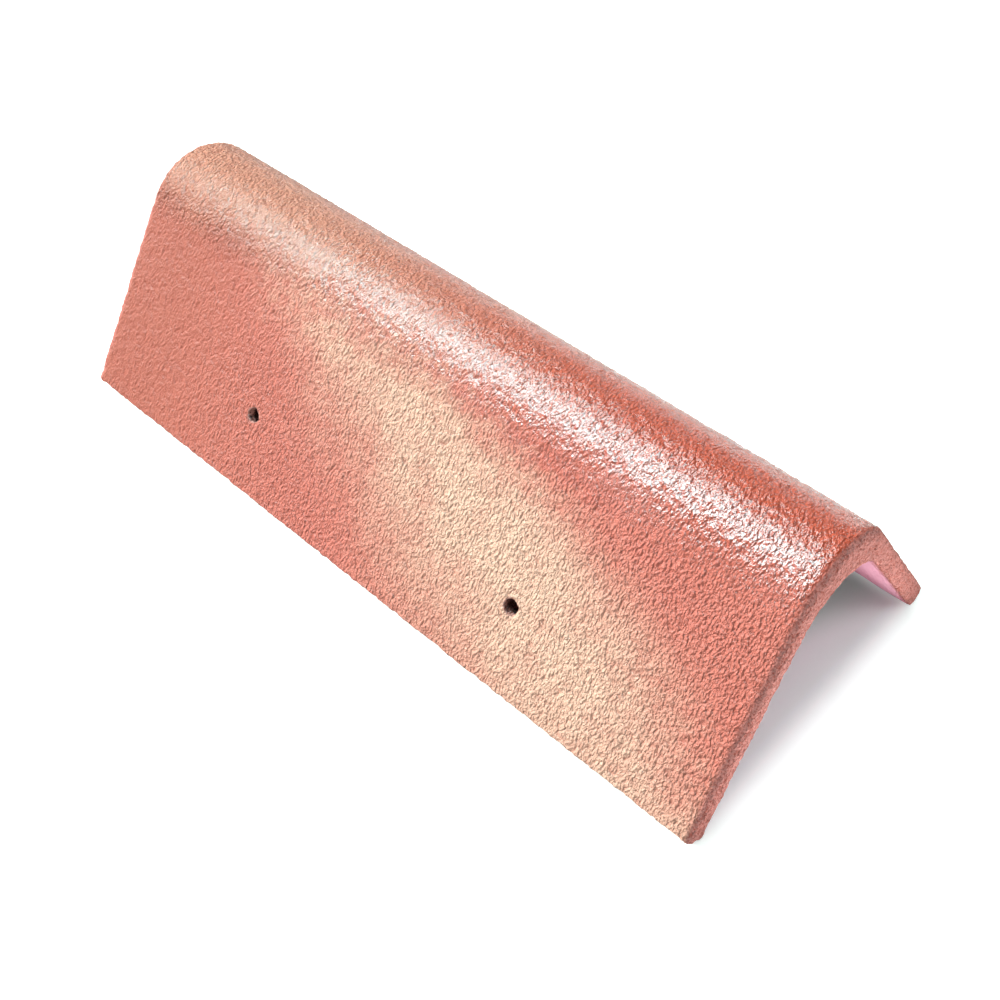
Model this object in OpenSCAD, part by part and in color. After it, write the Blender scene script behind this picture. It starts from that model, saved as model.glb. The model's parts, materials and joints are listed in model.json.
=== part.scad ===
// Ridge tile: an inverted V with a thick rounded crown and two straight wings,
// pressed in one piece, with two nail holes in each wing.
// X runs along the ridge, Z is up, and the origin is under the middle of the tile,
// on the surface that the feet of the wings stand on. Millimetres.

/* [Tile] */
// Length of the tile along the ridge
tile_length = 450; // [300:1:600]
// Slope of each wing, in degrees from level
wing_slope = 56.5; // [35:0.5:65]
// Length of each straight wing, from the crown to its foot
wing_length = 120; // [70:1:160]
// Thickness of each wing
wing_thickness = 13.5; // [10:0.5:20]

/* [Crown] */
// Outer radius of the rounded crown
crown_radius = 39; // [35:1:70]
// Thickness of the tile at the top of the crown
crown_thickness = 21; // [18:0.5:30]

/* [Edges] */
// Rounding of the outer edge at both ends of the tile
end_rounding = 5; // [2:0.5:8]
// Rounding of the two edges of each foot
foot_rounding = 3; // [1:0.5:5]

/* [Nail holes] */
// Diameter of a nail hole
hole_diameter = 7; // [5:0.5:12]
// Distance between the two holes of a wing
hole_spacing = 193; // [100:1:260]
// Distance from the middle of a hole to the foot of the wing
hole_from_foot = 44; // [25:1:50]

/* [Hidden] */

// How far a cutting shape runs past the tile
cut_overrun = 10;
// How far the rounded crown stands out from the straight faces of the wings, outside and inside
crown_step = 0.2;
// How far the rounded end edges of the crown run past it onto each wing, in degrees
crown_overlap = 2;
// Radius of a rounded edge over its inset, so that it meets both faces at a slight angle
rounding_share = 1.01;
// Smoothness of the curves
$fn = 96;

// Distance from the crown's axis to the outer face of a wing
outer_face = crown_radius - crown_step;
// Distance from the crown's axis to the inner face of a wing
inner_face = outer_face - wing_thickness;
// Height of the inner arch above the crown's axis
arch_top = crown_radius - crown_thickness;
// Radius of the inner arch, which runs into the inner faces of both wings
arch_radius = (inner_face + crown_step - arch_top * cos(wing_slope)) / (1 - cos(wing_slope));
// Height of the inner arch's own axis, measured from the crown's axis
arch_axis = arch_top - arch_radius;
// Height of the crown's axis above the surface that the feet stand on
crown_height = (wing_length - foot_rounding) * sin(wing_slope)
    - (inner_face + foot_rounding) * cos(wing_slope) + foot_rounding * rounding_share;
// Distance down the slope at which the inner faces pass below the feet
hollow_depth = wing_length + (inner_face * cos(wing_slope) + cut_overrun) / sin(wing_slope);

// A point of the near wing's section, by its distance out from the crown's axis
// and its distance down the slope
function on_wing(out, down) = [
    -out * sin(wing_slope) - down * cos(wing_slope),
    out * cos(wing_slope) - down * sin(wing_slope)
];

// Turns a point over to the other wing
function across(point) = [-point.x, point.y];

// Places a shape on the near wing: x out of the wing, y down its slope, z along the ridge
module along_wing() {
    rotate([0, 0, 90 + wing_slope])
        children();
}

// Repeats the near wing's shape on both sides
module both_wings() {
    children();
    mirror([1, 0, 0])
        children();
}

// Section of the two wings before they are hollowed
module wings_section() {
    top = on_wing(outer_face, 0);
    outer_foot = on_wing(outer_face, wing_length);
    inner_foot = on_wing(0, wing_length);
    polygon([top, outer_foot, inner_foot, across(inner_foot), across(outer_foot), across(top)]);
}

// Section of the space under the tile: the inner arch and the straight faces below it
module hollow_section() {
    arch_end = on_wing(inner_face, -arch_axis * sin(wing_slope));
    foot_end = on_wing(inner_face, hollow_depth);
    translate([0, arch_axis])
        circle(r = arch_radius);
    polygon([arch_end, foot_end, across(foot_end), across(arch_end)]);
}

// Waste off one edge of a foot: the square corner less the rounding left on it
module foot_edge_waste(out, side) {
    along_wing()
        translate([out, wing_length - foot_rounding])
            difference() {
                scale([side, 1])
                    square(foot_rounding + cut_overrun);
                rotate([0, 0, -90])
                    circle(r = foot_rounding * rounding_share);
            }
}

// Section of the tile: crown and wings, less the hollow and the edges of the feet
module tile_section() {
    difference() {
        union() {
            circle(r = crown_radius);
            wings_section();
        }
        hollow_section();
        both_wings() {
            foot_edge_waste(outer_face - foot_rounding, 1);
            foot_edge_waste(inner_face + foot_rounding, -1);
        }
    }
}

// Lengthwise profile of the waste off the outer edges at both ends: square corners
// less the roundings left on them
module end_edges_waste(face) {
    difference() {
        for (start = [-cut_overrun, tile_length - end_rounding])
            translate([face - end_rounding, start])
                square(end_rounding + cut_overrun);
        for (middle = [end_rounding, tile_length - end_rounding])
            translate([face - end_rounding, middle])
                rotate([0, 0, 180])
                    circle(r = end_rounding * rounding_share);
    }
}

// Waste off the end edges of the crown, turned about the crown's axis
module crown_ends_waste() {
    rotate([0, 0, 90 - wing_slope - crown_overlap])
        rotate_extrude(angle = 2 * (wing_slope + crown_overlap))
            end_edges_waste(crown_radius);
}

// Waste off the end edges of one wing, straight down its slope
module wing_ends_waste() {
    along_wing()
        translate([0, wing_length + cut_overrun, 0])
            rotate([90, 0, 0])
                linear_extrude(height = wing_length + cut_overrun)
                    end_edges_waste(outer_face);
}

// The nail holes of one wing, square to its face
module nail_holes() {
    along_wing()
        for (place = [-hole_spacing / 2, hole_spacing / 2])
            translate([inner_face - cut_overrun, wing_length - hole_from_foot, tile_length / 2 + place])
                rotate([0, 90, 0])
                    cylinder(d = hole_diameter, h = wing_thickness + 2 * cut_overrun);
}

module ridge_tile() {
    color("#d98c78")
        translate([-tile_length / 2, 0, crown_height])
            rotate([90, 0, 90])
                difference() {
                    linear_extrude(height = tile_length)
                        tile_section();
                    both_wings() {
                        wing_ends_waste();
                        nail_holes();
                    }
                    crown_ends_waste();
                }
}

ridge_tile();
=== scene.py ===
import json
import math

import bmesh
import bpy
import numpy as np
from mathutils import Matrix, Vector


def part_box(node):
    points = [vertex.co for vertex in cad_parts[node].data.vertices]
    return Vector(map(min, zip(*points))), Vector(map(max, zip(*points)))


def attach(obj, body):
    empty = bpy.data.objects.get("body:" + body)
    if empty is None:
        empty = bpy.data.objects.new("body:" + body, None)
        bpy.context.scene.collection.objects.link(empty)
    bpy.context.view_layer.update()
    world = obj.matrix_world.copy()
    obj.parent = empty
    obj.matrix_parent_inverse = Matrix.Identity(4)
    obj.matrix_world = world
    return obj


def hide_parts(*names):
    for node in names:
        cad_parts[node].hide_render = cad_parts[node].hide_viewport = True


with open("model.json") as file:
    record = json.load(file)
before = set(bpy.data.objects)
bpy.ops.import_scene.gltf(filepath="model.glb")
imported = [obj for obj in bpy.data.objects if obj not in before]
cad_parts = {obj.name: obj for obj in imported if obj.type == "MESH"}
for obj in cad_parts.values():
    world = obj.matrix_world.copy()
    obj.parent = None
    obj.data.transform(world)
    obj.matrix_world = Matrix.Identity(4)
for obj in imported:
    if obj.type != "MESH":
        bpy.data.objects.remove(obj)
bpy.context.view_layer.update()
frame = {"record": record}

bl_info = {
    "name": "Ridge tile",
    "version": (1, 0, 0),
    "blender": (4, 5, 0),
    "location": "View3D > Sidebar > Ridge tile",
    "description": "Models a pressed ridge tile with a pitted, flashed colour coat and sets it on a pale stage",
    "category": "Object",
}

TILE_NODE = "ridge_tile"
TILE_PIECE = "ridge_tile_body"
BODY = "root"
TILE_LOW, TILE_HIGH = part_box(TILE_NODE)
NAIL_HOLES = [m for m in frame["record"]["mounts"] if m["kind"] == "bore"]
MM = 0.001
RIDGE_AXIS = (1.0, 0.0, 0.0)
CROSSWAYS = (0.0, 1.0, 0.0)

# How close a point must be to a line or plane to count as lying on it
TOUCH = 0.02 * MM
# Radius of the solid's crown, which puts the crown's axis at the same height here
SOLID_CROWN_RADIUS = 39 * MM
# Facets of the rounded edges and of the nail holes
END_SEGMENTS = 5
FOOT_SEGMENTS = 4
HOLE_SIDES = 24
# How many times as long as a nail hole its cutter is
CUTTER_LENGTH = 3
# Steps in which a vertex group's weights are stored
GROUP_LEVELS = 20
# How sharply the small pits are cut
PIT_CONTRAST = 1.6

# Where the end faces begin, in from each end, and where the outside gives way to the
# underside, in from the outer face
END_FADE = (4.4 * MM, 2.2 * MM)
OUTSIDE_FADE = (3 * MM, 7 * MM)
UNDER_FADE = (5 * MM, 9 * MM)

# Widths of the coat's patterns
DRIFT_SIZE = 70 * MM
CLOUD_SIZE = 22 * MM
SPECK_SIZE = 7 * MM
CELL_SIZE = 1.8 * MM
LUMP_SIZE = 1.15 * MM
DOT_SIZE = 1.0 * MM
# Grains are longer across the tile than along it
GRAIN_STRETCH = (1.0, 0.62, 0.62)
# Levels of the noise between which dots and clouds come up
DOT_LEVELS = (0.5, 0.38)
CLOUD_LEVELS = (0.3, 0.6)
# Shares of the lumps and of the cells between them in the height of the fine grain
LUMP_SHARE = 1.3
CELL_SHARE = 0.6
# Height of the shaded relief on the coat, its least share at the smooth left end, and how much
# of it the underside lacks
COAT_BUMP = 3.4 * MM
SMOOTH_SHARE = 0.28
UNDER_SMOOTHING = 0.8
# Height of the shaded relief on the clear gloss, and the shares of grain and dots in it
GLAZE_BUMP = 0.75 * MM
GLAZE_GRAIN = 0.6
GLAZE_DOTS = 0.7
# Roughness of the coat, how far specks change it, and how much rougher bare concrete is
COAT_ROUGHNESS = 0.55
SPECK_ROUGHNESS = 0.2
BARE_ROUGHNESS = 0.25
# Weight of the gloss on the wings and on the worn top of the crown, and half the width over
# which it ends at the end edges
WING_GLOSS = 0.08
WORN_GLOSS = 0.5
GLOSS_EDGE = 1.5 * MM
# Depths between which the pits darken with painted shade over their red brown, the pressed
# relief's part in them, how much of the pits is covered and how dark they get
PIT_LEVELS = (-0.2, 0.15)
PIT_PRESSED = 0.3
PIT_COVER = 0.6
PIT_DARKNESS = 0.75
# Strength of the dark dots on the end faces and under the gloss
END_DOTS = 0.75
GLAZED_DOTS = 0.5
# Part of a chipped edge that is painted dark with the shade of the nail hole, and how far specks shift it
CHIP_SHADE = 0.4
CHIP_SPECKS = 2.5 * MM

# Where the coat changes along the ridge, from the middle of the tile
# Where the terracotta turns paler toward the right end, a painted light standing in for more light falling on
# that end
PAINTED_LIGHT_ALONG = (-190 * MM, -20 * MM)
BURNT_ALONG = (-140 * MM, 120 * MM)
GLAZE_ALONG = (-300 * MM, 200 * MM)
ROUGH_ALONG = (-170 * MM, -40 * MM)
# Where it changes down each side, from the top of the crown
CROWN_DOWN = (48 * MM, 10 * MM)
GLAZE_DOWN = (49 * MM, 32 * MM)
ROUGH_DOWN = (50 * MM, 30 * MM)
WORN_DOWN = (5 * MM, 19 * MM)
FLASH_DOWN = (18 * MM, 60 * MM)
# How far the cream flash runs to the left and right of its slanting middle line, and how far
# down each side that line crosses the middle of the tile
FLASH_LEFT = -115 * MM
FLASH_RIGHT = (210 * MM, 90 * MM)
FLASH_MIDDLE = 73 * MM
# Where its left side is full: at a start, and further right the lower on the wing
FLASH_FULL = -53 * MM
FLASH_SOFTENING = 1.05
# How far drifts and specks shift its sides, and specks its upper edge
FLASH_DRIFT = 80 * MM
FLASH_SPECKS = 60 * MM
FLASH_EDGE_SPECKS = 40 * MM
# How fast its upper edge sinks toward the right, and its least strength between the clouds
FLASH_SINK = 0.22
FLASH_LEAST = 0.75
# How far drifts shift the edge of the crown's colour
CROWN_DRIFT = 40 * MM

# Part of the floor that the tile stands over, inside its box, where the shadow is full; the painted glow that
# lightens the floor begins at its edge
STOOD_ON = (TILE_HIGH.x - 12 * MM, TILE_HIGH.y - 18 * MM, 0.0)
# Where the painted shadow darkens the floor inside each end, and where the floor is white far from the tile
PAINTED_SHADOW_INSIDE = (35 * MM, 65 * MM)
FAR_FLOOR = (0.3, 1.2)
# The painted shadow reaches nearer to the ends beside the feet
PAINTED_SHADOW_SLANT = (1.0, -0.4, 0.0)
# Places that the lamps point at: the middle of the tile, its right end and the floor beyond it
TILE_MIDDLE = Vector((0.0, 0.0, 60 * MM))
RIGHT_END = TILE_MIDDLE + Vector((TILE_HIGH.x - 40 * MM, 0.0, 0.0))
BEYOND_END = TILE_MIDDLE + Vector((TILE_HIGH.x + 75 * MM, 0.0, 0.0))

# The camera's own axes and its place
CAMERA_RIGHT = Vector((0.72522579, 0.68806855, -0.02468228))
CAMERA_UP = Vector((-0.46716526, 0.51809446, 0.71647383))
CAMERA_BACK = Vector((0.50577087, -0.50807460, 0.69717719))
CAMERA_PLACE = Vector((0.37650286, -0.35729560, 0.56782323))
CAMERA_SHIFT = -0.1
SENSOR_WIDTH = 36


class TileForm(bpy.types.PropertyGroup):
    """Sizes of the tile's section, edges and holes."""

    length: bpy.props.FloatProperty(
        name="Length", description="Length of the tile along the ridge",
        default=TILE_HIGH.x - TILE_LOW.x, subtype="DISTANCE", unit="LENGTH")
    wing_slope: bpy.props.FloatProperty(
        name="Wing slope", description="Slope of each wing from level",
        default=math.radians(56.5), subtype="ANGLE", unit="ROTATION")
    wing_length: bpy.props.FloatProperty(
        name="Wing length", description="Length of each straight wing from the crown to its foot",
        default=119.8 * MM, subtype="DISTANCE", unit="LENGTH")
    wing_thickness: bpy.props.FloatProperty(
        name="Wing thickness", description="Thickness of each wing",
        default=13.4 * MM, subtype="DISTANCE", unit="LENGTH")
    crown_radius: bpy.props.FloatProperty(
        name="Crown radius", description="Outer radius of the rounded crown",
        default=38.75 * MM, subtype="DISTANCE", unit="LENGTH")
    crown_thickness: bpy.props.FloatProperty(
        name="Crown thickness", description="Thickness of the tile at the top of the crown",
        default=20.75 * MM, subtype="DISTANCE", unit="LENGTH")
    crown_height: bpy.props.FloatProperty(
        name="Crown height", description="Height of the crown's axis above the surface the feet stand on",
        default=TILE_HIGH.z - SOLID_CROWN_RADIUS, subtype="DISTANCE", unit="LENGTH")
    crown_steps: bpy.props.IntProperty(
        name="Crown steps", description="Steps in which the crown is spun", default=28, min=8)
    end_rounding: bpy.props.FloatProperty(
        name="End rounding", description="Rounding of the outer edge at both ends",
        default=5 * MM, subtype="DISTANCE", unit="LENGTH")
    foot_rounding: bpy.props.FloatProperty(
        name="Foot rounding", description="Rounding of the edges of each foot",
        default=3 * MM, subtype="DISTANCE", unit="LENGTH")
    foot_undercut: bpy.props.FloatProperty(
        name="Foot undercut", description="How far the outer face of each wing stops short of its foot",
        default=0.8 * MM, subtype="DISTANCE", unit="LENGTH")
    hole_chip: bpy.props.FloatProperty(
        name="Hole chip", description="Width of the chipped edge around each nail hole",
        default=1.4 * MM, subtype="DISTANCE", unit="LENGTH")


class TileRelief(bpy.types.PropertyGroup):
    """Mesh density and pitted relief of the tile's faces."""

    voxel: bpy.props.FloatProperty(
        name="Mesh size", description="Width of the mesh's faces on the outside of the tile",
        default=1.6 * MM, subtype="DISTANCE", unit="LENGTH")
    under_share: bpy.props.FloatProperty(
        name="Kept share", description="Share of the mesh that is kept when the underside is thinned",
        default=0.58, min=0.1, max=1.0, subtype="FACTOR")
    grain_size: bpy.props.FloatProperty(
        name="Grain size", description="Width of the grains that stand up between the pits",
        default=3.3 * MM, subtype="DISTANCE", unit="LENGTH")
    grain_depth: bpy.props.FloatProperty(
        name="Grain depth", description="Depth of the grooves around the grains",
        default=0.8 * MM, subtype="DISTANCE", unit="LENGTH")
    pit_size: bpy.props.FloatProperty(
        name="Pit size", description="Spacing of the small pits",
        default=2.2 * MM, subtype="DISTANCE", unit="LENGTH")
    pit_depth: bpy.props.FloatProperty(
        name="Pit depth", description="Depth of the small pits",
        default=0.7 * MM, subtype="DISTANCE", unit="LENGTH")
    end_size: bpy.props.FloatProperty(
        name="End grain size", description="Width of the rougher grains on the end faces",
        default=5.5 * MM, subtype="DISTANCE", unit="LENGTH")
    end_depth: bpy.props.FloatProperty(
        name="End grain depth", description="Depth of the rougher grains on the end faces",
        default=0.8 * MM, subtype="DISTANCE", unit="LENGTH")
    under_size: bpy.props.FloatProperty(
        name="Underside wave", description="Width of the shallow waves on the underside",
        default=14 * MM, subtype="DISTANCE", unit="LENGTH")
    under_depth: bpy.props.FloatProperty(
        name="Underside depth", description="Depth of the shallow waves on the underside",
        default=0.6 * MM, subtype="DISTANCE", unit="LENGTH")


class TileFinish(bpy.types.PropertyGroup):
    """Colours of the coat, with painted light toward the right end and painted shade in the pits and nail
    holes, and how far it shines.
    """

    terracotta: bpy.props.FloatVectorProperty(
        name="Terracotta", description="Main colour of the coat",
        size=3, min=0, max=1, default=(0.47, 0.145, 0.098), subtype="COLOR")
    # Painted light: a brighter copy of the terracotta toward the right end, standing in for more light there
    painted_light_terracotta: bpy.props.FloatVectorProperty(
        name="Rose", description="Paler terracotta toward the right end",
        size=3, min=0, max=1, default=(0.71, 0.22, 0.16), subtype="COLOR")
    orange: bpy.props.FloatVectorProperty(
        name="Orange", description="Colour along the crown where the coat is thin",
        size=3, min=0, max=1, default=(0.72, 0.3, 0.185), subtype="COLOR")
    burnt: bpy.props.FloatVectorProperty(
        name="Burnt orange", description="Deeper colour along the crown toward the right end",
        size=3, min=0, max=1, default=(0.61, 0.085, 0.026), subtype="COLOR")
    cream: bpy.props.FloatVectorProperty(
        name="Cream", description="Flashed colour across the middle of each wing",
        size=3, min=0, max=1, default=(0.915, 0.6, 0.43), subtype="COLOR")
    # Partly painted shade: the red brown of the pits, also darkened for the shade in the hollows
    pit_and_shade: bpy.props.FloatVectorProperty(
        name="Pit", description="Red brown that shows in the pits",
        size=3, min=0, max=1, default=(0.42, 0.1, 0.065), subtype="COLOR")
    end: bpy.props.FloatVectorProperty(
        name="End face", description="Bare pressed concrete of the end faces",
        size=3, min=0, max=1, default=(0.64, 0.275, 0.235), subtype="COLOR")
    under: bpy.props.FloatVectorProperty(
        name="Underside", description="Dull mauve pink of the underside",
        size=3, min=0, max=1, default=(0.84, 0.455, 0.56), subtype="COLOR")
    chip: bpy.props.FloatVectorProperty(
        name="Chipped edge", description="Paler concrete at the chipped edge of a nail hole",
        size=3, min=0, max=1, default=(0.62, 0.32, 0.26), subtype="COLOR")
    # Painted shade: the concrete wall of a nail hole is coloured near black for the shade inside it
    bore: bpy.props.FloatVectorProperty(
        name="Nail hole", description="Dark wall of a nail hole",
        size=3, min=0, max=1, default=(0.06, 0.02, 0.015), subtype="COLOR")
    gloss: bpy.props.FloatProperty(
        name="Gloss", description="Weight of the clear coat along the crown",
        default=1.0, min=0, max=1, subtype="FACTOR")


class StageSettings(bpy.types.PropertyGroup):
    """Floor, lamps and camera."""

    floor_size: bpy.props.FloatProperty(
        name="Floor size", description="Side of the square floor",
        default=12.0, subtype="DISTANCE", unit="LENGTH")
    floor_colour: bpy.props.FloatVectorProperty(
        name="Floor", description="Colour of the floor",
        size=3, min=0, max=1, default=(0.9, 0.9, 0.9), subtype="COLOR")
    floor_tint: bpy.props.FloatVectorProperty(
        name="Floor as seen",
        description="Colour of the floor as the camera sees it, which evens out the tile's glow",
        size=3, min=0, max=1, default=(0.8, 1.0, 0.965), subtype="COLOR")
    # Painted shadow: the floor colour the camera sees deep under the tile, darkened to stand in for the shade
    # there
    floor_painted_shadow: bpy.props.FloatVectorProperty(
        name="Floor below", description="Colour of the floor as the camera sees it deep under the tile",
        size=3, min=0, max=1, default=(0.4, 0.75, 0.62), subtype="COLOR")
    # Painted light: the floor glows for the camera outside the tile's footprint, so the cast shadow fades out
    # within the shadow reach
    floor_lift: bpy.props.FloatProperty(
        name="Floor lift", description="Brightness added to the floor just outside the shadow",
        default=0.5, min=0, max=1, subtype="FACTOR")
    shadow_reach: bpy.props.FloatProperty(
        name="Shadow reach", description="Distance from the tile at which its shadow has faded out",
        default=20 * MM, subtype="DISTANCE", unit="LENGTH")
    key_power: bpy.props.FloatProperty(
        name="Key power", description="Power of the lamp at the left, which shades the relief",
        default=550.0, unit="POWER")
    top_power: bpy.props.FloatProperty(
        name="Top power", description="Power of the large soft lamp overhead",
        default=6.6, unit="POWER")
    fill_power: bpy.props.FloatProperty(
        name="Fill power", description="Power of the soft lamp in front of the near wing",
        default=2.1, unit="POWER")
    end_power: bpy.props.FloatProperty(
        name="End power", description="Power of the lamp behind the right end, which lights the end face",
        default=8.0, unit="POWER")
    low_power: bpy.props.FloatProperty(
        name="Low power",
        description="Power of the lamp on the floor beyond the right end, which lights the underside",
        default=0.21, unit="POWER")
    gloss_power: bpy.props.FloatProperty(
        name="Gloss power", description="Power of the long lamp that only shines in the glazed crown",
        default=385.0, unit="POWER")
    gloss_colour: bpy.props.FloatVectorProperty(
        name="Gloss colour", description="Colour of the reflections in the glazed crown",
        size=3, min=0, max=1, default=(0.42, 0.92, 1.0), subtype="COLOR")
    rim_power: bpy.props.FloatProperty(
        name="Rim power", description="Power of the low lamp that only shines in the far side of the crown",
        default=4.2, unit="POWER")
    sky: bpy.props.FloatProperty(
        name="Sky", description="Strength of the even light from all around",
        default=0.26, min=0, max=1, subtype="FACTOR")
    lens: bpy.props.FloatProperty(
        name="Lens", description="Focal length of the camera", default=49.31, unit="CAMERA")


class Section:
    """Points of the tile's section, worked out from the sizes."""

    def __init__(self, form):
        self.slope = form.wing_slope
        self.height = form.crown_height
        self.outer = form.crown_radius
        self.inner = form.crown_radius - form.wing_thickness
        self.foot = form.wing_length
        arch_top = form.crown_radius - form.crown_thickness
        self.arch_radius = (self.inner - arch_top * math.cos(self.slope)) / (1 - math.cos(self.slope))
        self.arch_axis = arch_top - self.arch_radius
        self.arch_end = -self.arch_axis * math.sin(self.slope)

    def on_wing(self, out, down):
        """Point of the near wing, by its distance out from the crown's axis and down the slope."""
        sin, cos = math.sin(self.slope), math.cos(self.slope)
        return Vector((0.0, -out * sin - down * cos, self.height + out * cos - down * sin))

    def unroll(self, points):
        """Depth below the outer face, and path from the top of the crown, signed by the wing."""
        side = np.abs(points[:, 1])
        rise = points[:, 2] - self.height
        sin, cos = math.sin(self.slope), math.cos(self.slope)
        turn = np.arctan2(side, rise)
        crown = turn < self.slope
        out = np.where(crown, np.hypot(side, rise), side * sin + rise * cos)
        down = np.where(crown, 0.0, side * cos - rise * sin)
        path = np.minimum(turn, self.slope) * self.outer + down
        return self.outer - out, path * np.where(points[:, 1] < 0, 1.0, -1.0)


def deselect_everything():
    """Leaves object mode with nothing selected."""
    if bpy.context.object and bpy.context.object.mode != "OBJECT":
        bpy.ops.object.mode_set(mode="OBJECT")
    bpy.ops.object.select_all(action="DESELECT")


def select_edges(piece, wanted):
    """Selects the edges of the mesh in edit mode that pass the test."""
    bpy.ops.mesh.select_mode(type="EDGE")
    bpy.ops.mesh.select_all(action="DESELECT")
    shape = bmesh.from_edit_mesh(piece.data)
    found = 0
    for edge in shape.edges:
        if wanted(edge.verts[0].co, edge.verts[1].co):
            edge.select_set(True)
            found += 1
    shape.select_flush_mode()
    bmesh.update_edit_mesh(piece.data)
    if not found:
        raise RuntimeError("no edge was found to work on")


def apply_modifier(piece, name):
    """Applies one modifier of the piece."""
    bpy.context.view_layer.objects.active = piece
    bpy.ops.object.modifier_apply(modifier=name)


def add_skin(piece, section, form, out, start, foot, axis_height):
    """Adds one skin of the tile in edit mode: near wing, crown spun from its edge, far wing."""
    run = foot - start
    middle = section.on_wing(out, start + run / 2)
    bpy.ops.mesh.primitive_plane_add(size=1, location=middle, rotation=(section.slope, 0, 0))
    bpy.ops.transform.resize(value=(form.length, 1, 1), center_override=middle)
    up_slope = Vector((0, math.cos(section.slope), math.sin(section.slope)))
    shape = bmesh.from_edit_mesh(piece.data)
    for vert in shape.verts:
        if vert.select:
            reach = (vert.co - middle).dot(up_slope)
            vert.co += up_slope * (math.copysign(run / 2, reach) - reach)
    bmesh.update_edit_mesh(piece.data)
    top = section.on_wing(out, start)
    select_edges(piece, lambda a, b: max(abs(a.z - top.z), abs(b.z - top.z), abs(a.y - top.y)) < TOUCH)
    bpy.ops.mesh.spin(
        steps=form.crown_steps, angle=2 * section.slope, center=(0, 0, axis_height), axis=RIDGE_AXIS)
    bpy.ops.mesh.extrude_edges_move(TRANSFORM_OT_translate={
        "value": (0, run * math.cos(section.slope), -run * math.sin(section.slope))})


def model_form(section, form):
    """Models the smooth tile: two skins bridged at the feet and ends, with rounded edges."""
    deselect_everything()
    bpy.ops.mesh.primitive_plane_add(size=1, enter_editmode=True)
    piece = bpy.context.object
    piece.name = TILE_PIECE
    piece.data.name = TILE_PIECE
    bpy.ops.mesh.select_all(action="SELECT")
    bpy.ops.mesh.delete(type="VERT")
    add_skin(piece, section, form, section.outer, 0.0, section.foot - form.foot_undercut, section.height)
    add_skin(piece, section, form, section.inner, section.arch_end, section.foot,
             section.height + section.arch_axis)
    bpy.ops.mesh.select_all(action="SELECT")
    bpy.ops.mesh.remove_doubles(threshold=TOUCH)
    bpy.ops.mesh.select_mode(type="EDGE")
    bpy.ops.mesh.select_all(action="DESELECT")
    bpy.ops.mesh.select_non_manifold(extend=False)
    bpy.ops.mesh.bridge_edge_loops()
    bpy.ops.mesh.select_all(action="SELECT")
    bpy.ops.mesh.normals_make_consistent(inside=False)

    half = form.length / 2

    def depth(point):
        return section.unroll(np.array([point]))[0][0]

    select_edges(piece, lambda a, b: abs(abs(a.x) - half) < TOUCH and abs(a.x - b.x) < TOUCH
                 and max(abs(depth(a)), abs(depth(b))) < 10 * TOUCH)
    bpy.ops.mesh.bevel(
        offset=form.end_rounding, segments=END_SEGMENTS, affect="EDGES", clamp_overlap=False)

    foot_height = section.on_wing(section.outer, section.foot).z
    select_edges(piece, lambda a, b: max(a.z, b.z) < foot_height + TOUCH and abs(a.x - b.x) > half)
    bpy.ops.mesh.bevel(
        offset=form.foot_rounding, segments=FOOT_SEGMENTS, affect="EDGES", clamp_overlap=False)
    bpy.ops.object.mode_set(mode="OBJECT")
    return piece


def cut_nail_holes(piece):
    """Cuts the nail holes where the record has them."""
    cutters = []
    for hole in NAIL_HOLES:
        deselect_everything()
        bpy.ops.mesh.primitive_cylinder_add(
            vertices=HOLE_SIDES, radius=hole["dims"]["r_mm"] * MM,
            depth=CUTTER_LENGTH * hole["dims"]["length_mm"] * MM,
            location=hole["pos_m"], rotation=Vector(hole["axis"]).to_track_quat("Z", "Y").to_euler())
        cutters.append(bpy.context.object)
        bpy.ops.object.transform_apply(location=True, rotation=True, scale=True)
    deselect_everything()
    for cutter in cutters:
        cutter.select_set(True)
    bpy.context.view_layer.objects.active = cutters[0]
    bpy.ops.object.join()
    tool = bpy.context.object
    cut = piece.modifiers.new("nail holes", "BOOLEAN")
    cut.operation = "DIFFERENCE"
    cut.solver = "EXACT"
    cut.object = tool
    apply_modifier(piece, cut.name)
    bpy.data.objects.remove(tool)


def points_of(piece):
    """Vertex places as an array."""
    flat = np.empty(len(piece.data.vertices) * 3)
    piece.data.vertices.foreach_get("co", flat)
    return flat.reshape(-1, 3)


def fade(value, low, high):
    """Smooth step from 0 at low to 1 at high."""
    share = np.clip((value - low) / (high - low), 0.0, 1.0)
    return share * share * (3 - 2 * share)


def face_shares(points, section, form):
    """How far each point belongs to the end faces, the underside and the outside, and its path."""
    depth, path = section.unroll(points)
    half = form.length / 2
    end = fade(np.abs(points[:, 0]), half - END_FADE[0], half - END_FADE[1])
    under = fade(depth, *UNDER_FADE) * (1 - end)
    outside = (1 - fade(depth, *OUTSIDE_FADE)) * (1 - end)
    return {"end": end, "under": under, "outside": outside}, path


def set_group(piece, name, shares):
    """Writes a vertex group from an array of weights."""
    group = piece.vertex_groups.new(name=name)
    levels = np.round(shares * GROUP_LEVELS).astype(int)
    for level in range(1, GROUP_LEVELS + 1):
        members = np.nonzero(levels == level)[0].tolist()
        if members:
            group.add(members, level / GROUP_LEVELS, "REPLACE")


def press_in(piece, name, texture, depth, group):
    """Presses a texture into the faces of one vertex group."""
    relief = piece.modifiers.new(name, "DISPLACE")
    relief.texture = texture
    relief.texture_coords = "LOCAL"
    relief.direction = "NORMAL"
    relief.mid_level = 0.0
    relief.strength = -depth
    relief.vertex_group = group
    apply_modifier(piece, name)


def grain_texture(name, size):
    """Rounded grains with grooves between them."""
    texture = bpy.data.textures.new(name, "VORONOI")
    texture.distance_metric = "DISTANCE_SQUARED"
    texture.noise_scale = size
    texture.noise_intensity = 1.0
    texture.use_clamp = True
    return texture


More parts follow.
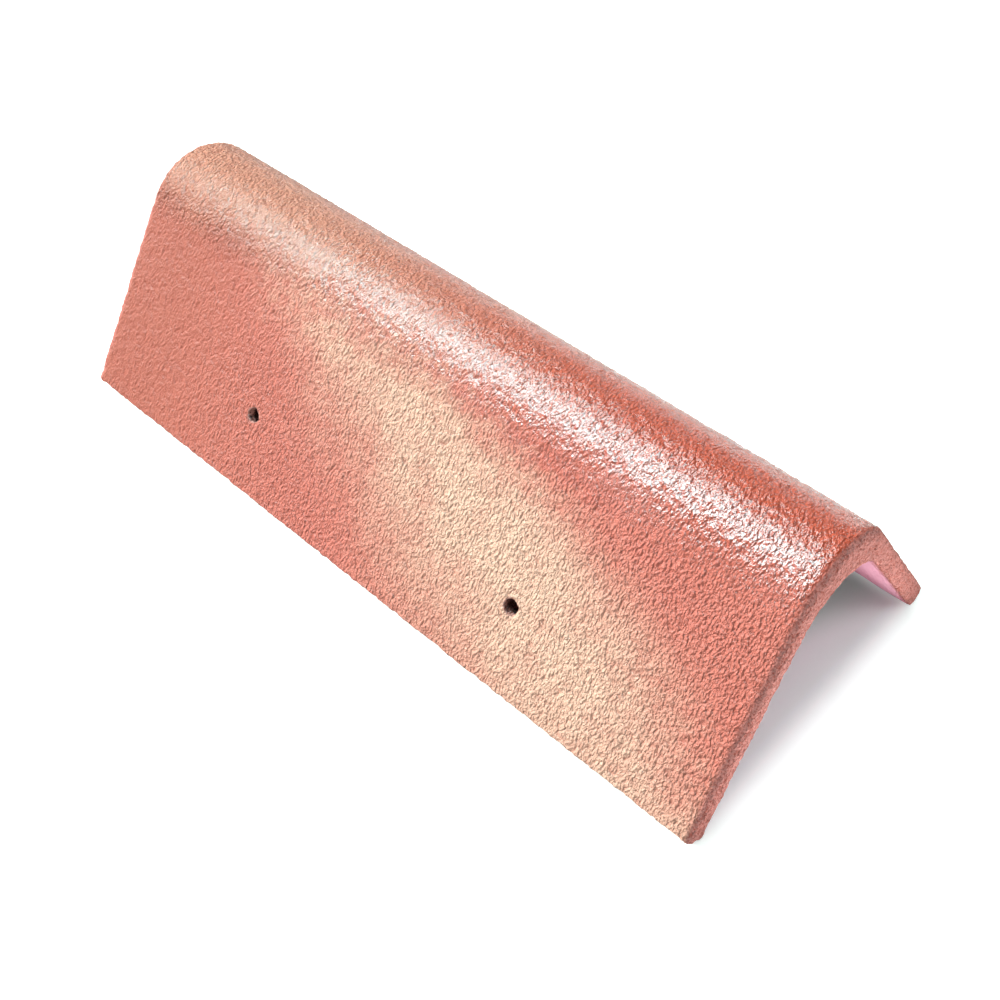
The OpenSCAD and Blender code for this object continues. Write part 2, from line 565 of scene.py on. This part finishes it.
def cloud_texture(name, size, depth):
    """Soft uneven pits."""
    texture = bpy.data.textures.new(name, "CLOUDS")
    texture.noise_basis = "BLENDER_ORIGINAL"
    texture.noise_scale = size
    texture.noise_depth = depth
    texture.contrast = PIT_CONTRAST
    texture.use_clamp = True
    return texture


def set_attribute(piece, name, values):
    """Stores one number for each vertex."""
    layer = piece.data.attributes.new(name, "FLOAT", "POINT")
    layer.data.foreach_set("value", np.ascontiguousarray(values, dtype=np.float32))


def even_mesh(piece, section, form, relief):
    """Gives the smooth tile an even fine mesh, thinned on the underside."""
    remesh = piece.modifiers.new("even mesh", "REMESH")
    remesh.mode = "VOXEL"
    remesh.voxel_size = relief.voxel
    remesh.use_smooth_shade = True
    apply_modifier(piece, remesh.name)
    shares, _ = face_shares(points_of(piece), section, form)
    set_group(piece, "thinned", shares["under"])
    thin = piece.modifiers.new("thin underside", "DECIMATE")
    thin.ratio = relief.under_share
    thin.vertex_group = "thinned"
    apply_modifier(piece, thin.name)


def press_relief(piece, section, form, relief):
    """Presses the pitted relief into the mesh, and stores what the coat needs to know of it."""
    before = points_of(piece)
    shares, path = face_shares(before, section, form)
    normals = np.empty(len(before) * 3)
    piece.data.vertices.foreach_get("normal", normals)
    normals = normals.reshape(-1, 3)
    for name, share in shares.items():
        set_group(piece, name, share)
    press_in(piece, "grains", grain_texture("grains", relief.grain_size), relief.grain_depth, "outside")
    press_in(piece, "pits", cloud_texture("pits", relief.pit_size, 1), relief.pit_depth, "outside")
    press_in(piece, "end grains", grain_texture("end grains", relief.end_size), relief.end_depth, "end")
    press_in(piece, "end pits", cloud_texture("end pits", relief.pit_size, 2), relief.pit_depth, "end")
    press_in(piece, "underside", cloud_texture("underside", relief.under_size, 2), relief.under_depth, "under")
    piece.vertex_groups.clear()
    sunk = -np.einsum("ij,ij->i", points_of(piece) - before, normals)
    set_attribute(piece, "sunk", sunk / (relief.grain_depth + relief.pit_depth))
    set_attribute(piece, "path", path)
    for name, share in shares.items():
        set_attribute(piece, name, share)


class Nodes:
    """Short calls for adding and linking the nodes of one tree."""

    def __init__(self, tree):
        self.tree = tree

    def add(self, kind, values=None, **settings):
        """Adds a node, then links or sets its sockets."""
        node = self.tree.nodes.new(kind)
        for key, value in settings.items():
            setattr(node, key, value)
        for socket, value in (values or {}).items():
            if hasattr(value, "is_output"):
                self.tree.links.new(value, node.inputs[socket])
            else:
                node.inputs[socket].default_value = value
        return node

    def math(self, operation, a, b=0.0):
        return self.add("ShaderNodeMath", {0: a, 1: b}, operation=operation).outputs[0]

    def scaled(self, value, factor):
        return self.math("MULTIPLY", value, factor)

    def from_least(self, least, share):
        """Runs from the least value, where the share is 0, to 1."""
        return self.math("ADD", least, self.scaled(share, 1 - least))

    def vector(self, operation, a, b=(0.0, 0.0, 0.0)):
        node = self.add("ShaderNodeVectorMath", {0: a, 1: b}, operation=operation)
        return node.outputs["Value" if operation in ("DOT_PRODUCT", "LENGTH") else "Vector"]

    def ramp(self, value, low, high):
        """Smooth step from 0 at low to 1 at high."""
        node = self.add("ShaderNodeMapRange", {"Value": value, "From Min": low, "From Max": high},
                        interpolation_type="SMOOTHSTEP")
        return node.outputs["Result"]

    def noise(self, place, size, detail=3.0, rough=0.55):
        node = self.add("ShaderNodeTexNoise", {
            "Vector": place, "Scale": 1 / size, "Detail": detail, "Roughness": rough})
        return node.outputs["Fac"]

    def mix(self, share, a, b):
        return self.add("ShaderNodeMix", {0: share, 6: a, 7: b}, data_type="RGBA").outputs[2]

    def attribute(self, name):
        return self.add("ShaderNodeAttribute", attribute_name=name).outputs["Fac"]

    def seen(self):
        """1 for what the camera sees, also mirrored or through glass, and 0 for light on the tile."""
        rays = self.add("ShaderNodeLightPath").outputs
        bounced = self.math("MAXIMUM", rays["Is Glossy Ray"], rays["Is Transmission Ray"])
        return self.math("MAXIMUM", rays["Is Camera Ray"], bounced)


def opaque(colour):
    return (*colour, 1.0)


def new_material(name):
    """A material with an empty tree, and the short calls for filling it."""
    material = bpy.data.materials.new(name)
    material.use_nodes = True
    material.node_tree.nodes.clear()
    return material, Nodes(material.node_tree)


class CoatPlaces:
    """Where a point of the coat lies on the tile, and the patterns that its looks share."""

    def __init__(self, n):
        self.place = n.add("ShaderNodeTexCoord").outputs["Object"]
        self.along = n.add("ShaderNodeSeparateXYZ", {0: self.place}).outputs[0]
        path = n.attribute("path")
        self.down = n.math("ABSOLUTE", path)
        # Along the ridge, turned round on the far wing
        self.run = n.math("MULTIPLY", self.along, n.math("SIGN", path))
        self.outside = n.attribute("outside")
        self.end = n.attribute("end")
        self.under = n.attribute("under")
        self.drift = n.math("SUBTRACT", n.noise(self.place, DRIFT_SIZE, 2.0), 0.5)
        self.speck = n.math("SUBTRACT", n.noise(self.place, SPECK_SIZE, 3.0, 0.6), 0.5)
        self.dots = n.ramp(n.noise(self.place, DOT_SIZE, 1.0), *DOT_LEVELS)
        self.glazed = n.math("MULTIPLY", n.ramp(self.down, *GLAZE_DOWN), n.ramp(self.along, *GLAZE_ALONG))
        grain = n.vector("MULTIPLY", self.place, GRAIN_STRETCH)
        lumps = n.noise(grain, LUMP_SIZE, 1.5)
        cells = n.add("ShaderNodeTexVoronoi", {"Vector": grain, "Scale": 1 / CELL_SIZE, "Smoothness": 0.7},
                      feature="SMOOTH_F1").outputs["Distance"]
        self.height = n.math("SUBTRACT", n.scaled(lumps, LUMP_SHARE), n.scaled(cells, CELL_SHARE))


def flash_mask(n, coat):
    """The cream flash: a slanting, speckled band across each wing, softer lower down."""
    slant = n.math("SUBTRACT", coat.run, n.math("SUBTRACT", coat.down, FLASH_MIDDLE))
    slant = n.math("ADD", slant, n.scaled(coat.drift, FLASH_DRIFT))
    slant = n.math("ADD", slant, n.scaled(coat.speck, FLASH_SPECKS))
    full = n.math("ADD", n.scaled(coat.down, FLASH_SOFTENING), FLASH_FULL)
    band = n.math("MULTIPLY", n.ramp(slant, FLASH_LEFT, full), n.ramp(slant, *FLASH_RIGHT))
    spread = n.math("ADD", coat.down, n.scaled(coat.speck, FLASH_EDGE_SPECKS))
    spread = n.math("SUBTRACT", spread, n.scaled(n.math("MAXIMUM", coat.run, 0.0), FLASH_SINK))
    clouds = n.ramp(n.noise(coat.place, CLOUD_SIZE, 3.0), *CLOUD_LEVELS)
    flash = n.math("MULTIPLY", band, n.ramp(spread, *FLASH_DOWN))
    return n.math("MULTIPLY", flash, n.from_least(FLASH_LEAST, clouds))


def hole_distance(n, coat):
    """Uneven distance from the axis of the nearest nail hole."""
    hole = NAIL_HOLES[0]
    middle = tuple(abs(value) for value in hole["pos_m"])
    axis = tuple(abs(value) for value in hole["axis"])
    apart = n.vector("SUBTRACT", n.vector("ABSOLUTE", coat.place), middle)
    level = n.vector("DOT_PRODUCT", apart, axis)
    reach = n.vector("LENGTH", apart)
    reach = n.math("SUBTRACT", n.math("MULTIPLY", reach, reach), n.math("MULTIPLY", level, level))
    return n.math("ADD", n.math("SQRT", reach), n.scaled(coat.speck, CHIP_SPECKS))


def coat_colour(n, coat, finish, form):
    """Colour of the coat, the ends, the pits, the underside and the nail holes, laid over each other, with
    painted light toward the right end and painted shade in the pits and nail holes.
    """
    # Painted light: the terracotta turns paler toward the right end
    colour = n.mix(n.ramp(coat.along, *PAINTED_LIGHT_ALONG), opaque(finish.terracotta), opaque(finish.painted_light_terracotta))
    burnt = n.mix(n.ramp(coat.along, *BURNT_ALONG), opaque(finish.orange), opaque(finish.burnt))
    crown = n.ramp(n.math("ADD", coat.down, n.scaled(coat.drift, CROWN_DRIFT)), *CROWN_DOWN)
    colour = n.mix(crown, colour, burnt)
    colour = n.mix(flash_mask(n, coat), colour, opaque(finish.cream))
    colour = n.mix(coat.end, colour, opaque(finish.end))

    # Painted shade, over the pits' own red brown: the colour darkens in the hollows of the relief
    hollow = n.math("SUBTRACT", n.scaled(n.attribute("sunk"), PIT_PRESSED), coat.height)
    pitted = n.scaled(n.ramp(hollow, *PIT_LEVELS), PIT_COVER)
    colour = n.mix(pitted, colour, n.mix(PIT_DARKNESS, colour, opaque(finish.pit_and_shade)))
    speckled = n.math("MAXIMUM", n.scaled(coat.end, END_DOTS), n.scaled(coat.glazed, GLAZED_DOTS))
    colour = n.mix(n.math("MULTIPLY", coat.dots, speckled), colour, opaque(finish.pit_and_shade))
    colour = n.mix(coat.under, colour, opaque(finish.under))

    reach = hole_distance(n, coat)
    bore = NAIL_HOLES[0]["dims"]["r_mm"] * MM
    dark = bore + CHIP_SHADE * form.hole_chip
    colour = n.mix(n.ramp(reach, bore + form.hole_chip, dark), colour, opaque(finish.chip))
    # Painted shade: near black inside each nail hole and over the inner part of its chipped edge
    return n.mix(n.ramp(reach, dark, bore), colour, opaque(finish.bore))


def coat_gloss(n, coat, finish, form):
    """Weight of the clear gloss: full along the crown, worn on its top, and none past the end edges."""
    shine = n.from_least(WING_GLOSS, coat.glazed)
    shine = n.math("MULTIPLY", shine, n.from_least(WORN_GLOSS, n.ramp(coat.down, *WORN_DOWN)))
    arris = form.length / 2 - form.end_rounding
    inside = n.ramp(n.math("ABSOLUTE", coat.along), arris + GLOSS_EDGE, arris - GLOSS_EDGE)
    shine = n.math("MULTIPLY", shine, inside)
    return n.scaled(n.math("MULTIPLY", coat.outside, shine), finish.gloss)


def coat_height(n, coat):
    """Height of the fine grain: flatter toward the left end of the wings and on the underside."""
    rise = n.math("MAXIMUM", n.ramp(coat.along, *ROUGH_ALONG), n.ramp(coat.down, *ROUGH_DOWN))
    rise = n.from_least(SMOOTH_SHARE, rise)
    rise = n.math("MULTIPLY", rise, n.math("SUBTRACT", 1.0, n.scaled(coat.under, UNDER_SMOOTHING)))
    return n.math("MULTIPLY", coat.height, rise)


def coat_material(finish, form):
    """Terracotta coat flashed with cream, over pitted concrete."""
    material, n = new_material("flashed_terracotta_coat")
    coat = CoatPlaces(n)
    rough = n.math("ADD", COAT_ROUGHNESS, n.scaled(coat.speck, SPECK_ROUGHNESS))
    rough = n.math("ADD", rough, BARE_ROUGHNESS)
    rough = n.math("SUBTRACT", rough, n.scaled(coat.outside, BARE_ROUGHNESS))
    height = coat_height(n, coat)
    peel = n.math("SUBTRACT", n.scaled(height, GLAZE_GRAIN), n.scaled(coat.dots, GLAZE_DOTS))
    bump = n.add("ShaderNodeBump", {"Height": height, "Distance": COAT_BUMP, "Strength": 1.0})
    glaze = n.add("ShaderNodeBump", {"Height": peel, "Distance": GLAZE_BUMP, "Strength": 1.0})
    shader = n.add("ShaderNodeBsdfPrincipled", {
        "Base Color": coat_colour(n, coat, finish, form), "Roughness": rough, "Specular IOR Level": 0.1,
        "Coat Weight": coat_gloss(n, coat, finish, form), "Coat Roughness": 0.19, "Coat IOR": 1.45,
        "Normal": bump.outputs[0], "Coat Normal": glaze.outputs[0]})
    n.add("ShaderNodeOutputMaterial", {0: shader.outputs[0]})
    return material


def floor_material(stage, form):
    """Matt pale floor that the camera sees as white outside the tile's shadow, with painted shadow that darkens
    it deep under the tile and a painted glow that fades the cast shadow out near the tile.
    """
    material, n = new_material("pale_floor")
    seen = n.seen()
    sides = n.vector("ABSOLUTE", n.add("ShaderNodeTexCoord").outputs["Object"])
    apart = n.vector("LENGTH", n.vector("MAXIMUM", n.vector("SUBTRACT", sides, STOOD_ON)))
    # Painted light: a glow for the camera that lightens the floor away from the tile and cuts its shadow short
    lift = n.scaled(n.ramp(apart, 0.0, stage.shadow_reach), stage.floor_lift)
    lift = n.math("ADD", lift, n.scaled(n.ramp(apart, *FAR_FLOOR), 1 - stage.floor_lift))
    # Painted shadow: the floor darkens for the camera deep inside each end of the tile
    inside = n.vector("DOT_PRODUCT", sides, PAINTED_SHADOW_SLANT)
    deep = n.ramp(inside, form.length / 2 - PAINTED_SHADOW_INSIDE[0], form.length / 2 - PAINTED_SHADOW_INSIDE[1])
    deep = n.math("MULTIPLY", deep, n.ramp(apart, stage.shadow_reach, 0.0))
    tint = n.mix(deep, opaque(stage.floor_tint), opaque(stage.floor_painted_shadow))
    tint = n.mix(seen, opaque(stage.floor_colour), tint)
    matt = n.add("ShaderNodeBsdfDiffuse", {"Color": tint})
    glow = n.add("ShaderNodeEmission", {"Strength": n.math("MULTIPLY", seen, lift)})
    both = n.add("ShaderNodeAddShader", {0: matt.outputs[0], 1: glow.outputs[0]})
    n.add("ShaderNodeOutputMaterial", {0: both.outputs[0]})
    return material


class OBJECT_OT_ridge_tile(bpy.types.Operator):
    """Models the ridge tile in place of its CAD node"""

    bl_idname = "object.ridge_tile"
    bl_label = "Ridge tile"
    bl_options = {"REGISTER", "UNDO"}

    def execute(self, context):
        form = context.scene.tile_form
        relief = context.scene.tile_relief
        section = Section(form)
        piece = model_form(section, form)
        cut_nail_holes(piece)
        even_mesh(piece, section, form, relief)
        press_relief(piece, section, form, relief)
        piece.data.materials.clear()
        piece.data.materials.append(coat_material(context.scene.tile_finish, form))
        deselect_everything()
        piece.select_set(True)
        context.view_layer.objects.active = piece
        bpy.ops.object.shade_smooth()
        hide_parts(TILE_NODE)
        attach(piece, BODY)
        return {"FINISHED"}


def add_lamp(name, target, direction, distance, size, power, use="DIFFUSE", side=RIDGE_AXIS, colour=(1, 1, 1)):
    """Adds a soft lamp that points at the target, for matt light or for reflections."""
    back = Vector(direction).normalized()
    side = Vector(side)
    side = (side - back * side.dot(back)).normalized()
    turn = Matrix((side, back.cross(side), back)).transposed()
    bpy.ops.object.light_add(type="AREA", location=target + back * distance, rotation=turn.to_euler())
    lamp = bpy.context.object
    lamp.name = name
    lamp.data.shape = "RECTANGLE"
    lamp.data.size, lamp.data.size_y = size
    lamp.data.energy = power
    lamp.data.color = colour
    lamp.visible_camera = False
    lamp.visible_diffuse = use == "DIFFUSE"
    lamp.visible_glossy = use == "GLOSSY"


def add_lamps(stage):
    """Adds the lamps that light the tile, and the two that only shine in its gloss."""
    add_lamp("key_lamp", TILE_MIDDLE, direction=(-0.85, -0.3, 0.45), distance=6.0,
             size=(1.3, 1.3), power=stage.key_power)
    add_lamp("top_lamp", TILE_MIDDLE, direction=(0.1, 0.0, 1.0), distance=1.7,
             size=(1.2, 1.2), power=stage.top_power)
    add_lamp("fill_lamp", RIGHT_END, direction=(0.2, -0.75, 0.6), distance=1.2,
             size=(0.7, 0.7), power=stage.fill_power)
    add_lamp("end_lamp", TILE_MIDDLE, direction=(0.75, 0.5, 0.3), distance=1.6,
             size=(0.7, 0.7), power=stage.end_power, side=CROSSWAYS)
    add_lamp("low_lamp", BEYOND_END, direction=(0.0, 0.0, -1.0), distance=59 * MM,
             size=(0.1, 0.16), power=stage.low_power)
    add_lamp("gloss_lamp", TILE_MIDDLE, direction=(-0.46, -0.12, 0.87), distance=1.63,
             size=(1.9, 1.6), power=stage.gloss_power, use="GLOSSY", side=(0.82, 0.57, 0.0),
             colour=stage.gloss_colour)
    add_lamp("rim_lamp", TILE_MIDDLE, direction=(-0.42, 0.9, 0.07), distance=1.6,
             size=(1.6, 0.2), power=stage.rim_power, use="GLOSSY")


def add_world(scene, stage):
    """Adds an even pale sky that the camera sees as white."""
    world = bpy.data.worlds.new("studio")
    scene.world = world
    world.use_nodes = True
    n = Nodes(world.node_tree)
    sky = world.node_tree.nodes["Background"]
    sky.inputs["Color"].default_value = (1, 1, 1, 1)
    world.node_tree.links.new(n.math("MAXIMUM", n.seen(), stage.sky), sky.inputs["Strength"])


def add_camera(scene, stage):
    """Adds the camera."""
    bpy.ops.object.camera_add()
    camera = bpy.context.object
    camera.name = "camera"
    turn = Matrix((CAMERA_RIGHT, CAMERA_UP, CAMERA_BACK)).transposed().to_4x4()
    camera.matrix_world = Matrix.Translation(CAMERA_PLACE) @ turn
    camera.data.sensor_width = SENSOR_WIDTH
    camera.data.lens = stage.lens
    camera.data.shift_y = CAMERA_SHIFT
    camera.data.clip_start = 10 * MM
    scene.camera = camera


class OBJECT_OT_tile_stage(bpy.types.Operator):
    """Adds the pale floor, the soft lamps, the sky and the camera"""

    bl_idname = "object.tile_stage"
    bl_label = "Stage"
    bl_options = {"REGISTER", "UNDO"}

    def execute(self, context):
        stage = context.scene.tile_stage
        deselect_everything()
        bpy.ops.mesh.primitive_plane_add(size=stage.floor_size)
        floor = bpy.context.object
        floor.name = "floor"
        floor.data.materials.append(floor_material(stage, context.scene.tile_form))
        add_lamps(stage)
        add_world(context.scene, stage)
        add_camera(context.scene, stage)
        context.scene.view_settings.view_transform = "Standard"
        return {"FINISHED"}


class VIEW3D_PT_ridge_tile(bpy.types.Panel):
    """Sizes, relief and colours of the tile, and the buttons that make it"""

    bl_idname = "VIEW3D_PT_ridge_tile"
    bl_label = "Ridge tile"
    bl_space_type = "VIEW_3D"
    bl_region_type = "UI"
    bl_category = "Ridge tile"

    def draw(self, context):
        layout = self.layout
        for title, group, _ in GROUPS:
            box = layout.box()
            box.label(text=title)
            settings = getattr(context.scene, group)
            for name in settings.__annotations__:
                box.prop(settings, name)
        layout.operator(OBJECT_OT_ridge_tile.bl_idname)
        layout.operator(OBJECT_OT_tile_stage.bl_idname)


GROUPS = (
    ("Form", "tile_form", TileForm),
    ("Relief", "tile_relief", TileRelief),
    ("Finish", "tile_finish", TileFinish),
    ("Stage", "tile_stage", StageSettings),
)
CLASSES = (TileForm, TileRelief, TileFinish, StageSettings,
           OBJECT_OT_ridge_tile, OBJECT_OT_tile_stage, VIEW3D_PT_ridge_tile)


def register():
    for cls in CLASSES:
        bpy.utils.register_class(cls)
    for _, group, kind in GROUPS:
        setattr(bpy.types.Scene, group, bpy.props.PointerProperty(type=kind))


def unregister():
    for _, group, _ in GROUPS:
        delattr(bpy.types.Scene, group)
    for cls in reversed(CLASSES):
        bpy.utils.unregister_class(cls)


def main():
    register()
    bpy.ops.object.tile_stage()
    bpy.ops.object.ridge_tile()


if __name__ == "__main__":
    main()
